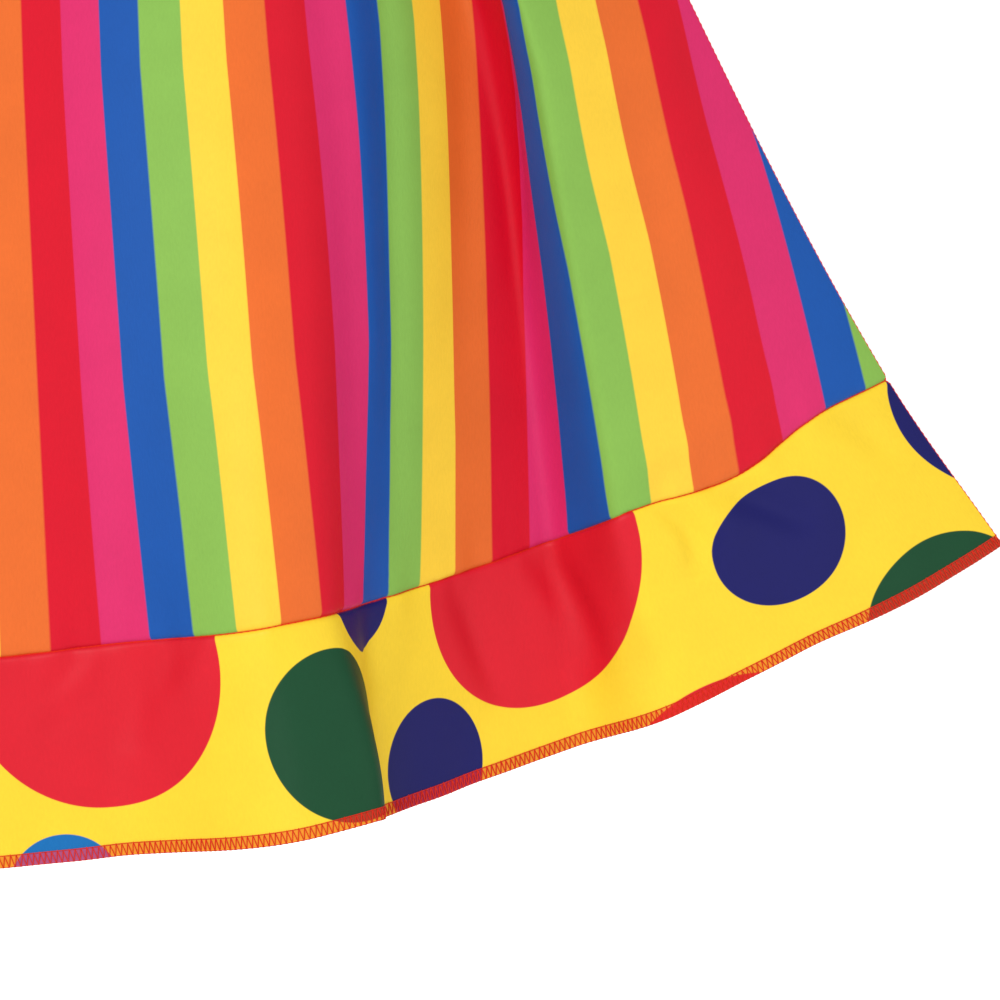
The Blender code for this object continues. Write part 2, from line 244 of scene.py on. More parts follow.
THIN_SHARE = 0.35         # down to this share of its thickness
SHARP_ANGLE = radians(65)  # edges that turn further are shaded as sharp
SEAM_GROOVE = 0.0024      # half width of the groove along the band's seam
TURNING_HEIGHT = 0.0004   # how far the turned edges stand up
TURNING_BORDER = 0.0006   # half width of the step where they end
TURNING_SEARCH = 0.30     # share of a panel, from its top edge, that can hold them

# Stretches of the top edge, from one column to another
NECKLINE = (0, NECK_COLUMNS)
SHOULDER_SEAM = (NECK_COLUMNS, TIP_COLUMN)
ARMHOLE = (TIP_COLUMN, HALF_COLUMNS)
# Openings with stitches round them, on the left half (1), the right half (-1) or both (0)
Opening = namedtuple("Opening", "stitches stretch half")
OPENINGS = (
    Opening("neck_stitches", NECKLINE, 0),
    Opening("armhole_stitches_left", ARMHOLE, 1),
    Opening("armhole_stitches_right", ARMHOLE, -1),
)

CREASE_TAPER = 0.8        # below 1, a crease keeps its height nearly to its ends
CREASE_SHOULDER = 0.4     # how deep the low shoulders beside it are
CREASE_SPREAD = 1.5       # how softly it runs out
GATHER_HEIGHT = 0.00035   # gathers along the band's seam
GATHER_REACH = 0.010
HEM_WAVE_HEIGHT = 0.0004
HEM_WAVE_REACH = 0.020
EDGE_SAMPLES = 0.0005     # spacing of the points from which an edge's distance is measured
FAR_AWAY = 1.0

# ---- Print ----
STRIPE_PITCH = 0.0204     # width of a stripe at the hem band's seam
STRIPE_CLOSING = 0.0103   # how much narrower a stripe is for each metre above that seam
STRIPE_ORDER = ("red", "pink", "blue", "green", "yellow", "orange")
STRIPE_TABLE = (87, 801)  # levels and places across at which the stripes are counted
INK_SPREAD = 0.00022      # half width of the soft border between two colours

# Spots of the hem band: the centre in stripes and metres, the radius in metres
Spot = namedtuple("Spot", "stripe run radius colour")
SPOTS = (
    Spot(0.93, -0.0122, 0.0550, "spot_red"),
    Spot(-0.14, -0.0990, 0.0230, "spot_blue"),
    Spot(5.90, -0.0500, 0.0365, "spot_green"),
    Spot(7.79, +0.0050, 0.0235, "spot_navy"),
    Spot(10.02, -0.0745, 0.0278, "spot_navy"),
    Spot(12.92, -0.0095, 0.0562, "spot_red"),
    Spot(15.80, -0.1365, 0.0550, "spot_red"),
    Spot(18.15, -0.0374, 0.0276, "spot_navy"),
    Spot(20.40, -0.1070, 0.0390, "spot_green"),
    Spot(23.25, -0.0245, 0.0425, "spot_navy"),
)
SPOT_REPEAT = 28.4        # stripes from one set of spots to the next
BAND_FLARE = 0.12         # how much longer the hem is than the band's seam
THREAD_COVER = 0.55       # share of the overlocked edge that its thread covers
THREAD_BORDER = 0.0002    # half width of the soft border of that cover
SEAM_SHADE_REACH = 0.0006        # reach of the painted seam shade, a thin dark line in the thread's colour, each side of the band's seam
# share of the thread's colour in that painted seam shade
SEAM_SHADE_SHARE = 0.55
# Real yarns are 0.25 mm apart, too fine to show, so they are drawn wider
YARN_SPACING = 0.0010
YARN_LENGTH = 3           # how much longer than wide a yarn is drawn
INK_PATCH = 0.025         # size of the patches over which the ink lies unevenly
INK_RANGE = (0.94, 1.06)  # its darkest and lightest

# ---- Sewing ----
THREAD_SIDES = 5          # of a thread's cross-section
STITCH_POINTS = 4         # points of a needle thread for each stitch
SEAM_THREAD_WIDTH = 0.7   # share of the thread's width that shows in a seam
SEAM_THREAD_SINK = (0.1, 0.5)           # its depth and how far it dips, in thread widths
OVERLOCK_SIDES = 4
OVERLOCK_RINGS = 6        # lines round the hem that carry its threads
OVERLOCK_REACH = 1.2      # height of the last of them, as a share of the overlock's depth
LOOPER_WANDER = 0.06      # how unevenly the loopers' upper turns reach up, as a share
UPPER_TURNS = 0.7         # turns above this share of the overlock's depth are upper ones
CHAIN_WIDTH = 1.1         # of the edge chain, as a share of the thread's width
CHAIN_DROP = 0.00015      # how far it hangs below the raw edge
CHAIN_SWING = (0.0001, 0.0003)          # how far it swings, up and down and in and out
NEEDLE_WIDTH = 0.8
NEEDLE_LINE = 0.97        # height of the needle thread, as a share of the overlock's depth
NEEDLE_LIFT = (0.25, 0.75)              # its lift off the cloth and its swing, in thread radii
# One looper stitch of the overlock: share of its pitch, of its depth and of its full lift
Looper = namedtuple("Looper", "along rise lift")
LOOPER_STITCH = (
    Looper(0.00,  1.00, -0.4),
    Looper(0.16,  0.78,  0.9),
    Looper(0.42,  0.42,  1.0),
    Looper(0.66,  0.10,  0.9),
    Looper(0.75, -0.06, -0.2),
    Looper(0.84,  0.12,  0.8),
    Looper(0.90,  0.45,  1.0),
    Looper(0.96,  0.80,  0.9),
)
# One topstitch: share of its length and of its full lift
TOPSTITCH = ((0.00, -0.5), (0.08, 0.7), (0.35, 1.0), (0.65, 1.0), (0.92, 0.7), (1.00, -0.5))
STITCH_INSET = 0.001      # from the line of topstitches to the border of the turned edge
TURNING_ROW = 6           # a row of the mesh that lies well inside the panel


# ---- Small helpers ----
def linear_colour(hex_colour):
    """An sRGB hex colour as linear red, green and blue."""
    shares = [int(hex_colour[i:i + 2], 16) / 255 for i in (1, 3, 5)]
    return tuple(s / 12.92 if s <= 0.04045 else ((s + 0.055) / 1.055) ** 2.4 for s in shares)


def ramp(start, end, value):
    """0 up to the start, 1 from the end on, and even in between."""
    return np.clip((value - start) / (end - start), 0.0, 1.0)


def smooth_step(start, end, value):
    """The same with soft corners."""
    q = ramp(start, end, value)
    return q * q * (3 - 2 * q)


def unit(vectors):
    return vectors / np.maximum(np.linalg.norm(vectors, axis=-1, keepdims=True), 1e-12)


def cell_of(place, count):
    """Which row of a table lies before a place, and the share of the way to the next."""
    place = np.clip(place, 0.0, count - 1.001)      # so that there always is a next row
    row = place.astype(int)
    return row, place - row


def running_length(points):
    """Distance from the first row along lines of points that run down the rows."""
    steps = np.linalg.norm(np.diff(points, axis=0), axis=-1)
    return np.concatenate([np.zeros((1, *steps.shape[1:])), np.cumsum(steps, axis=0)])


def joined_up(rows, closed=True):
    """Rows along a line. A closed line gets its first row again at its end."""
    return np.concatenate([rows, rows[:1]]) if closed else rows


def along_line(rows, arc, at):
    """Rows along a line, read at other distances."""
    return np.stack([np.interp(at, arc, rows[:, k]) for k in range(rows.shape[1])], axis=1)


# ---- Working out the cloth ----
def read_table(stations, values, at):
    """Read table rows, along the last axis, on a smooth line that never swings past them."""
    gaps = np.diff(stations)
    slopes = np.diff(values) / gaps
    before = 2 * gaps[..., 1:] + gaps[..., :-1]
    after = gaps[..., 1:] + 2 * gaps[..., :-1]
    same_way = slopes[..., :-1] * slopes[..., 1:] > 0
    left = np.where(same_way, slopes[..., :-1], 1.0)
    right = np.where(same_way, slopes[..., 1:], 1.0)
    inner = np.where(same_way, (before + after) / (before / left + after / right), 0.0)
    tangents = np.concatenate([slopes[..., :1], inner, slopes[..., -1:]], axis=-1)
    at = np.clip(at, stations[..., 0], stations[..., -1])
    i = (stations[..., 1:-1] <= at[..., None]).sum(axis=-1)

    def pick(table, step=0):
        table = np.broadcast_to(table, at.shape + table.shape[-1:])
        return np.take_along_axis(table, (i + step)[..., None], axis=-1)[..., 0]

    gap = pick(gaps)
    q = (at - pick(stations)) / gap
    return ((1 + 2 * q) * (1 - q) ** 2 * pick(values)
            + q * (1 - q) ** 2 * gap * pick(tangents)
            + q * q * (3 - 2 * q) * pick(values, 1)
            + q * q * (q - 1) * gap * pick(tangents, 1))


def column_of(table, name):
    return np.array([getattr(row, name) for row in table])


def table_value(table, station, name, at):
    """One column of a table, read at places of its station column."""
    return read_table(column_of(table, station), column_of(table, name), at)


def section_value(name, level):
    return table_value(SECTIONS, "level", name, level)


def fold_lines(folds, level):
    """Where the fold lines run at each level, as a new last axis."""
    top = column_of(folds, "top_across")
    change = column_of(folds, "hem_across") - top
    return top + change * ramp(FOLD_START, LENGTH, level)[..., None]


def fold_out(folds, across, level):
    """How far the folds stand out from the plain outline."""
    share = ramp(UNDERARM, FOLD_START, level) ** FOLD_FADE
    top = column_of(folds, "top_out")
    change = column_of(folds, "hem_out") - top
    outs = top * share[..., None] + change * ramp(FOLD_START, LENGTH, level)[..., None]
    return read_table(fold_lines(folds, level), outs, across)


def soft_fold_out(folds, across, level):
    """The same, with the change at FOLD_START smoothed."""
    reach = FOLD_BLEND * np.clip(1 - np.abs(level - FOLD_START) / (2 * FOLD_BLEND), 0.0, 1.0)
    return (fold_out(folds, across, level - reach) + 2 * fold_out(folds, across, level)
            + fold_out(folds, across, level + reach)) / 4


def fold_rise(folds, across, level):
    """How far the cloth is hitched up."""
    in_panel = ramp(FOLD_START, SEAM_LEVEL, level) ** 2
    in_band = ramp(SEAM_LEVEL, LENGTH, level)
    seam = column_of(folds, "seam_rise")
    change = column_of(folds, "hem_rise") - seam
    rises = seam * in_panel[..., None] + change * in_band[..., None]
    return read_table(fold_lines(folds, level), rises, across)


def fold_lean(folds, across, level):
    """How far the hem band leans towards the wearer's left side."""
    in_band = ramp(SEAM_LEVEL, LENGTH, level)
    leans = column_of(folds, "hem_lean") * np.sin(in_band * pi / 2)[..., None]
    return read_table(fold_lines(folds, level), leans, across)


def shoulder_arch(x, level):
    """Share of the chest's depth that is left between underarm and shoulder."""
    slope = SHOULDER_DROP / (SHOULDER_HALF - NECK_HALF)
    shoulder_level = slope * (np.abs(x) - NECK_HALF)
    q = ramp(UNDERARM, shoulder_level, level)
    return (1 - q ** SHOULDER_ROUND) ** (1 / SHOULDER_ROUND)


def cloth_points(side, across, level):
    """Points on the outer face of one side of the dress."""
    depth = section_value("front" if side.facing < 0 else "back", level)
    seam_y = -side.facing * section_value("side", level)
    bow = np.clip(1 - across * across, 0.0, 1.0) ** section_value("edge", level)
    outline = seam_y + (depth - seam_y) * bow
    x = across * section_value("half", level) + fold_lean(side.folds, across, level)
    out = soft_fold_out(side.folds, across, level)
    y = side.facing * (outline + out) * shoulder_arch(x, level)
    rise = section_value("lift", level) * across * across + fold_rise(side.folds, across, level)
    return np.stack([x, y, rise - level], axis=-1)


def top_edge(side, share):
    """Across and level of the top edge: neckline, shoulder seam, armhole."""
    place = np.abs(share) * HALF_COLUMNS
    inner = place / NECK_COLUMNS
    along = (place - NECK_COLUMNS) / SHOULDER_COLUMNS
    under = pi / 2 * ramp(TIP_COLUMN, HALF_COLUMNS, place)
    half = section_value("half", np.array(UNDERARM))
    depth = section_value("front", np.array(UNDERARM))
    inset = half * np.sqrt(1 - (ARMHOLE_HALF / depth) ** 2)
    arm_x = (half * np.sqrt(1 - (ARMHOLE_HALF * np.cos(under) / depth) ** 2)
             + (SHOULDER_HALF - inset) * (1 - np.sin(under)) ** 2)
    arm_level = SHOULDER_DROP + (UNDERARM - SHOULDER_DROP) * np.sin(under)
    parts = [place < NECK_COLUMNS, place < TIP_COLUMN]
    shoulder_x = NECK_HALF + (SHOULDER_HALF - NECK_HALF) * along
    x = np.select(parts, [NECK_HALF * inner, shoulder_x], arm_x)
    level = np.select(parts, [side.neck_drop * (1 - inner ** 2), SHOULDER_DROP * along], arm_level)
    return np.sign(share) * x / section_value("half", level), level


def top_columns(shares, stretch, half=0):
    """Which columns end on a stretch of the top edge, its borders included."""
    place = np.abs(shares) * HALF_COLUMNS
    rounding = 0.01
    inside = (place > stretch[0] - rounding) & (place < stretch[1] + rounding)
    return inside & (shares * half >= 0)


def column_shares():
    """Where the columns of the mesh stand, from -1 at one side seam to 1 at the other."""
    even = np.arange(HALF_COLUMNS * COLUMN_SPLITS + 1) / (HALF_COLUMNS * COLUMN_SPLITS)
    beside_seam = 1 - np.array(EDGE_STEPS) / HALF_REACH
    half = np.unique(np.concatenate([even, beside_seam]))
    return np.concatenate([-half[:0:-1], half])


def row_places():
    """Where the rows stand: 0 at the top edge, 1 at the band's seam, 2 at the hem."""
    steps = np.array(EDGE_STEPS)
    beside_seams = np.concatenate([steps / PANEL_REACH, 1 - steps / PANEL_REACH,
                                   1 + steps / BAND_DEPTH, 2 - steps / BAND_DEPTH])
    even = np.concatenate([(np.arange(PANEL_ROWS + 1) / PANEL_ROWS) ** ROW_CROWDING,
                           1 + np.arange(1, BAND_ROWS + 1) / BAND_ROWS])
    reach = np.where(even <= 1, PANEL_REACH, BAND_DEPTH)
    clear = np.abs(even[:, None] - beside_seams).min(axis=1) * reach > ROW_CLEARANCE
    return np.unique(np.concatenate([even[clear], beside_seams]))


def cloth_places(side, shares, places):
    """Across and level of the mesh's points. The columns follow the fold lines."""
    share, place = np.meshgrid(shares, places)
    edge_across, edge_level = top_edge(side, share)
    level = np.where(place <= 1, edge_level + (SEAM_LEVEL - edge_level) * place,
                     SEAM_LEVEL + BAND_DEPTH * (place - 1))
    top = table_value(side.folds, "hem_across", "top_across", share)
    column = top + (share - top) * ramp(FOLD_START, LENGTH, level)
    rate = np.interp(np.abs(share) * HALF_COLUMNS, (NECK_COLUMNS, TIP_COLUMN, HALF_COLUMNS),
                     (1.0, TIP_RATE, 1.0))
    settle = ramp(edge_level, FOLD_START, level) ** rate
    return edge_across + (column - edge_across) * settle, level


def grid_normals(side, shares, points, has_top):
    """Outward directions; along side and shoulder seams they keep to the seam's plane."""
    over = np.gradient(points, axis=1)
    down = np.gradient(points, axis=0)
    normals = np.cross(over, down) * side.facing
    normals[:, [0, -1], 1] = 0.0
    if has_top:
        normals[0, top_columns(shares, SHOULDER_SEAM), 1] = 0.0
    return unit(normals)


@lru_cache(maxsize=None)
def stripe_table(side):
    """The print's stripe coordinate over a table of levels and places across."""
    levels = np.linspace(UNDERARM, LENGTH, STRIPE_TABLE[0])
    across = np.linspace(-1.0, 1.0, STRIPE_TABLE[1])
    grid = cloth_points(side, *np.broadcast_arrays(across[:, None], levels[None, :]))
    arc = running_length(grid).T
    arc -= arc[:, [len(across) // 2]]
    girth = arc[:, -1] - arc[:, 0]
    seam_girth = np.interp(SEAM_LEVEL, levels, girth)
    pitch = STRIPE_PITCH - STRIPE_CLOSING * np.maximum(SEAM_LEVEL - levels, 0.0)
    pitch *= np.where(levels > SEAM_LEVEL, girth / seam_girth, 1.0)
    return levels, across, arc / pitch[:, None] - side.stripe_start


def stripe_at(side, across, level):
    """The stripe coordinate of points. Above the underarm the stripes run straight up."""
    levels, places, table = stripe_table(side)
    clamped = np.maximum(level, UNDERARM)
    straight = across * section_value("half", level) / section_value("half", clamped)
    across = np.where(level < UNDERARM, straight, across)
    row, down = cell_of((clamped - levels[0]) / (levels[1] - levels[0]), len(levels))
    column, over = cell_of((across - places[0]) / (places[1] - places[0]), len(places))
    upper = table[row, column] * (1 - over) + table[row, column + 1] * over
    lower = table[row + 1, column] * (1 - over) + table[row + 1, column + 1] * over
    return upper * (1 - down) + lower * down


def print_pull(pulls, stripe, run):
    """How many stripes the print of a panel is drawn to the wearer's left."""
    pulled = np.zeros_like(run)
    for name, hat in zip(("at_seam", "mid_skirt", "at_hip"), np.eye(len(PULL_HEIGHTS))):
        share = np.interp(run, PULL_HEIGHTS, hat)
        pulled += table_value(pulls, "stripe", name, stripe) * share
    return pulled


def crease_height(creases, stripe, run):
    """Height of the creases: soft troughs and ridges with low shoulders."""
    height = np.zeros_like(run)
    for crease in creases:
        start = np.array([crease.stripe_a * STRIPE_PITCH, crease.run_a])
        whole = np.array([crease.stripe_b * STRIPE_PITCH, crease.run_b]) - start
        length = np.hypot(*whole)
        x = stripe * STRIPE_PITCH - start[0]
        y = run - start[1]
        along = (x * whole[0] + y * whole[1]) / length ** 2
        middle = np.clip(4 * along * (1 - along), 0.0, 1.0)
        off = (y * whole[0] - x * whole[1]) / length - crease.bend * middle
        q = (off / crease.half_width) ** 2
        profile = (1 - CREASE_SHOULDER * q) * np.exp(-q / CREASE_SPREAD)
        height += crease.height * middle ** CREASE_TAPER * profile
    return height


def seam_puckers(side, stripe, run):
    """Small gathers where the band's seam holds the cloth, and the hem's slight waves."""
    turn = 0.6 * side.facing

    def wave(length, phase):
        return np.sin(stripe * STRIPE_PITCH * 2 * pi / length + phase)

    gathers = (wave(0.0115, turn) * wave(0.083, 1.0 + turn) + 0.8 * wave(0.0190, 2.2 + turn)
               + 0.9 * wave(0.0310, 0.4 - turn))
    waves = wave(0.047, turn) + 0.8 * wave(0.029, -turn)
    at_seam = np.exp(-np.abs(run) / GATHER_REACH)
    at_hem = np.exp(-np.maximum(run + BAND_DEPTH, 0.0) / HEM_WAVE_REACH)
    return GATHER_HEIGHT * gathers * at_seam + HEM_WAVE_HEIGHT * waves * at_hem


def edge_distance(points, lines, reach_rows):
    """Distance of the top rows from the nearest of some edge lines; far away elsewhere."""
    distance = np.full(points.shape[:2], FAR_AWAY)
    samples = []
    for line in lines:
        arc = running_length(line)
        samples.extend(along_line(line, arc, np.arange(0.0, arc[-1], EDGE_SAMPLES)))
    tree = KDTree(len(samples))
    for i, sample in enumerate(samples):
        tree.insert(sample, i)
    tree.balance()
    near = points[:reach_rows].reshape(-1, 3)
    found = np.array([tree.find(point)[2] for point in near])
    distance[:reach_rows] = found.reshape(reach_rows, -1)
    return distance


# Rows of points on the outer face, their outward directions and their place in the print
ClothGrid = namedtuple("ClothGrid", "points normals stripe run")


@lru_cache(maxsize=None)
def cloth_grids(side, turned_edge, seam_depth, pucker):
    """The panel and the hem band of one side, with creases, seams and turned edges."""
    shares = column_shares()
    places = row_places()
    across, level = cloth_places(side, shares, places)
    points = cloth_points(side, across, level)
    normals = grid_normals(side, shares, points, True)
    fall = running_length(points)
    seam_row = int(np.argmin(np.abs(places - 1)))
    run = fall[seam_row] - fall
    run[seam_row:] *= BAND_DEPTH / -run[-1]
    woven = stripe_at(side, across, level)
    stripe = woven - print_pull(side.pulls, woven, run)
    band_stripe = woven - table_value(side.pulls, "stripe", "in_band", woven)
    stripe[seam_row + 1:] = band_stripe[seam_row + 1:]

    side_fade = smooth_step(0.0, SIDE_FADE, (1 - np.abs(shares)) * HALF_REACH)[None, :]
    height = crease_height(side.creases, stripe, run) * side_fade
    height += pucker * seam_puckers(side, stripe, run) * side_fade
    lines = [points[0, top_columns(shares, opening.stretch, opening.half)] for opening in OPENINGS]
    distance = edge_distance(points, lines, int(np.sum(places < TURNING_SEARCH)))
    inside = smooth_step(turned_edge - TURNING_BORDER, turned_edge + TURNING_BORDER, distance)
    height += TURNING_HEIGHT * (1 - inside)
    height -= seam_depth * np.clip(1 - np.abs(run) / SEAM_GROOVE, 0.0, 1.0) ** 2
    points = points + normals * height[..., None]

    half_gap = SEAM_GAP / 2
    points[:, [0, -1], 1] += side.facing * half_gap
    points[0, top_columns(shares, SHOULDER_SEAM), 1] += side.facing * half_gap
    down = unit(points[seam_row + 1] - points[seam_row - 1])
    panel = np.concatenate([points[:seam_row], [points[seam_row] - down * half_gap]])
    band = np.concatenate([[points[seam_row] + down * half_gap], points[seam_row + 1:]])
    return (ClothGrid(panel, grid_normals(side, shares, panel, True),
                      stripe[:seam_row + 1], run[:seam_row + 1]),
            ClothGrid(band, grid_normals(side, shares, band, False),
                      band_stripe[seam_row:] + side.spot_start, run[seam_row:]))


def side_grids(side):
    """The panel and the hem band of one side at the sizes set in the sidebar."""
    sewing = bpy.context.scene.dress_sewing
    return cloth_grids(side, sewing.turned_edge, sewing.seam_depth, sewing.pucker)


# ---- Meshes ----
def grid_quads(rows, columns, facing, start=0):
    """Faces of a grid of points, turned outwards."""
    first = start + (np.arange(rows - 1)[:, None] * columns + np.arange(columns - 1)).ravel()
    quads = np.stack([first, first + columns, first + columns + 1, first + 1], axis=1)
    return quads if facing < 0 else quads[:, ::-1]


def new_piece(name, points, faces, materials):
    """A mesh object in the scene, shaded smooth."""
    mesh = bpy.data.meshes.new(name)
    mesh.from_pydata(points.tolist(), [], faces)
    for material in materials:
        mesh.materials.append(material)
    mesh.shade_smooth()
    piece = bpy.data.objects.new(name, mesh)
    bpy.context.collection.objects.link(piece)
    return piece


def cloth_shell(name, grid, side, materials):
    """A sheet of cloth with its own thickness. The outer face is printed."""
    rows, columns = grid.run.shape
    count = rows * columns
    wall = bpy.context.scene.dress_sewing.cloth_thickness
    full = smooth_step(0.0, THIN_REACH, (1 - np.abs(column_shares())) * HALF_REACH)
    depth = (wall * (THIN_SHARE + (1 - THIN_SHARE) * full))[None, :, None]
    inner = grid.points - grid.normals * depth
    points = np.concatenate([grid.points.reshape(-1, 3), inner.reshape(-1, 3)])
    outer_quads = grid_quads(rows, columns, side.facing)
    inner_quads = grid_quads(rows, columns, -side.facing, count)
    top = np.arange(columns)
    right = np.arange(rows) * columns + columns - 1
    loop = np.concatenate([top[:-1], right[:-1], (top + (rows - 1) * columns)[:0:-1],
                           (np.arange(rows) * columns)[:0:-1]])
    after = np.roll(loop, -1)
    rim = np.stack([loop, after, after + count, loop + count], axis=1)
    if side.facing > 0:
        rim = rim[:, ::-1]
    faces = np.concatenate([outer_quads, inner_quads, rim])
    piece = new_piece(name, points, faces.tolist(), materials)
    mesh = piece.data
    slots = np.zeros(len(faces), dtype=np.int32)
    slots[len(outer_quads):len(outer_quads) + len(inner_quads)] = 1
    mesh.polygons.foreach_set("material_index", slots)
    cut = np.stack([grid.stripe * STRIPE_PITCH, grid.run], axis=-1)
    cut = np.concatenate([cut.reshape(-1, 2)] * 2)
    layer = mesh.uv_layers.new(name="cut")
    layer.data.foreach_set("uv", cut[faces.ravel()].ravel())
    mesh.set_sharp_from_angle(angle=SHARP_ANGLE)
    mesh.update()
    return piece


def tubes(paths, normals, radius, sides, closed=False):
    """Points and faces of tubes of thread along paths, an array of tube, point and x, y, z."""
    count, length, _ = paths.shape
    if closed:
        ahead = np.roll(paths, -1, axis=1) - np.roll(paths, 1, axis=1)
    else:
        ahead = np.gradient(paths, axis=1)
    ahead = unit(ahead)
    aside = unit(np.cross(ahead, normals))
    above = np.cross(aside, ahead)
    turn = np.arange(sides) * 2 * pi / sides + pi / sides
    ring = (aside[:, :, None] * np.cos(turn)[:, None] + above[:, :, None] * np.sin(turn)[:, None])
    points = (paths[:, :, None] + ring * radius).reshape(-1, 3)
    steps = length if closed else length - 1
    tube, step, corner = np.meshgrid(np.arange(count), np.arange(steps), np.arange(sides),
                                     indexing="ij")
    here = (tube * length + step) * sides
    there = (tube * length + (step + 1) % length) * sides
    following = (corner + 1) % sides
    quads = np.stack([here + corner, here + following, there + following, there + corner],
                     axis=-1).reshape(-1, 4).tolist()
    if not closed:
        for i in range(count):
            first = i * length * sides
            last = first + (length - 1) * sides
            quads.append([first + k for k in reversed(range(sides))])
            quads.append([last + k for k in range(sides)])
    return points, quads


def join_meshes(parts):
    """One list of points and one of faces from several."""
    points, faces, start = [], [], 0
    for part_points, part_faces in parts:
        points.append(part_points)
        faces.extend([[start + k for k in face] for face in part_faces])
        start += len(part_points)
    return np.concatenate(points), faces


# ---- Threads. An edge is its points and their outward directions. ----
def contour(grid, distance):
    """The edge at one distance above the hem, column by column."""
    rise = (grid.run - grid.run[-1])[::-1]
    return [np.concatenate([along_line(rows[::-1, c], rise[:, c], [distance])
                            for c in range(rows.shape[1])])
            for rows in (grid.points, grid.normals)]


def ring_of(front_row, back_row):
    """A row of the front, left to right, and the same of the back on the way home."""
    return np.concatenate([front_row, back_row[::-1]])


def hem_thread_point(rings, arc, at, rise, lift):
    """Points of thread at a distance round the hem, a rise above it and a lift off it."""
    spacing = rings[1][0] - rings[0][0]
    low, share = cell_of(rise / spacing, len(rings))
    share = share[:, None]
    points = np.stack([along_line(ring[1], arc, at) for ring in rings])
    normals = np.stack([along_line(ring[2], arc, at) for ring in rings])
    i = np.arange(len(at))
    normal = unit(normals[low, i] * (1 - share) + normals[low + 1, i] * share)
    point = points[low, i] * (1 - share) + points[low + 1, i] * share
    past_hem = np.minimum(rise, 0.0)[:, None]
    point = point + unit(points[1] - points[0]) * past_hem
    return point + normal * lift[:, None], normal


def overlock_mesh():
    """Two looper threads, the edge chain and the needle thread, all round the hem."""
    sewing = bpy.context.scene.dress_sewing
    depth, wall = sewing.overlock_depth, sewing.cloth_thickness
    radius = sewing.thread_width / 2
    bands = [side_grids(side)[1] for side in (FRONT, BACK)]
    rings = []
    for rise in np.linspace(0.0, depth * OVERLOCK_REACH, OVERLOCK_RINGS):
        edges = [contour(band, rise) for band in bands]
        rings.append((rise, *(joined_up(ring_of(*rows)) for rows in zip(*edges))))
    arc = running_length(rings[0][1])
    stitches = int(round(arc[-1] / sewing.overlock_pitch))
    parts = []

    def lay_thread(at, rise, lift, width):
        points, normals = hem_thread_point(rings, arc, at, rise, lift)
        parts.append(tubes(points[None], normals[None], radius * width, OVERLOCK_SIDES,
                           closed=True))

    along, rise, lift = np.array(LOOPER_STITCH).T
    at = ((np.arange(stitches)[:, None] + along) * arc[-1] / stitches).ravel()
    wander = 1 + LOOPER_WANDER * np.sin(np.arange(stitches) * 2.4)[:, None]
    rises = (rise * depth * np.where(rise > UPPER_TURNS, wander, 1.0)).ravel()
    lifts = np.tile(lift * radius, stitches)
    lay_thread(at, rises, lifts, 1.0)
    lay_thread(at, rises, -wall - lifts, 1.0)
    # The edge chain follows the raw edge, where the two loopers hold each other
    beat = np.arange(stitches * STITCH_POINTS)
    at = beat * arc[-1] / len(beat)
    swing = np.sin(beat * 2 * pi / STITCH_POINTS + 0.4)
    lay_thread(at, -CHAIN_DROP + CHAIN_SWING[0] * swing, -wall / 2 + CHAIN_SWING[1] * swing,
               CHAIN_WIDTH)
    needle = NEEDLE_LIFT[0] + NEEDLE_LIFT[1] * np.abs(np.sin(beat * pi / STITCH_POINTS))
    lay_thread(at, np.full(len(at), depth * NEEDLE_LINE), needle * radius, NEEDLE_WIDTH)
    return join_meshes(parts)


def seam_thread(one, other, closed):
    """The needle thread in the groove where two pieces meet, from the edges of both."""
    sewing = bpy.context.scene.dress_sewing
    line = joined_up((one[0] + other[0]) / 2, closed)
    outward = joined_up(unit(one[1] + other[1]), closed)
    arc = running_length(line)
    count = int(arc[-1] / sewing.stitch_spacing) * STITCH_POINTS
    at = np.linspace(0.0, arc[-1], count, endpoint=not closed)
    normal = unit(along_line(outward, arc, at))
    depth, dip = SEAM_THREAD_SINK
    sink = depth + dip * np.abs(np.sin(np.arange(count) * pi / STITCH_POINTS))
    path = along_line(line, arc, at) - normal * (sink * sewing.thread_width)[:, None]
    return tubes(path[None], normal[None], sewing.thread_width * SEAM_THREAD_WIDTH,
                 THREAD_SIDES, closed)


def band_seam_mesh():
    """Thread between the panels and the hem bands, all round."""
    edges = []
    for part, row in ((0, -1), (1, 0)):
        front, back = (side_grids(side)[part] for side in (FRONT, BACK))
        edges.append((ring_of(front.points[row], back.points[row]),
                      ring_of(front.normals[row], back.normals[row])))
    return seam_thread(*edges, True)


def long_seams_mesh():
    """Thread along both side seams, from underarm to hem, and both shoulder seams."""
    sides = [side_grids(side) for side in (FRONT, BACK)]
    parts = []
    for column in (0, -1):
        edges = [(np.concatenate([grid.points[:, column] for grid in grids]),
                  np.concatenate([grid.normals[:, column] for grid in grids])) for grids in sides]
        parts.append(seam_thread(*edges, False))
    for half in (-1, 1):
        columns = top_columns(column_shares(), SHOULDER_SEAM, half)
        edges = [(panel.points[0, columns], panel.normals[0, columns]) for panel, _ in sides]
        parts.append(seam_thread(*edges, False))
    return join_meshes(parts)


def surface_tree(grid, side):
    """Search tree of a piece's outer face."""
    rows, columns = grid.run.shape
    quads = grid_quads(rows, columns, side.facing)
    return BVHTree.FromPolygons(grid.points.reshape(-1, 3).tolist(), quads.tolist())


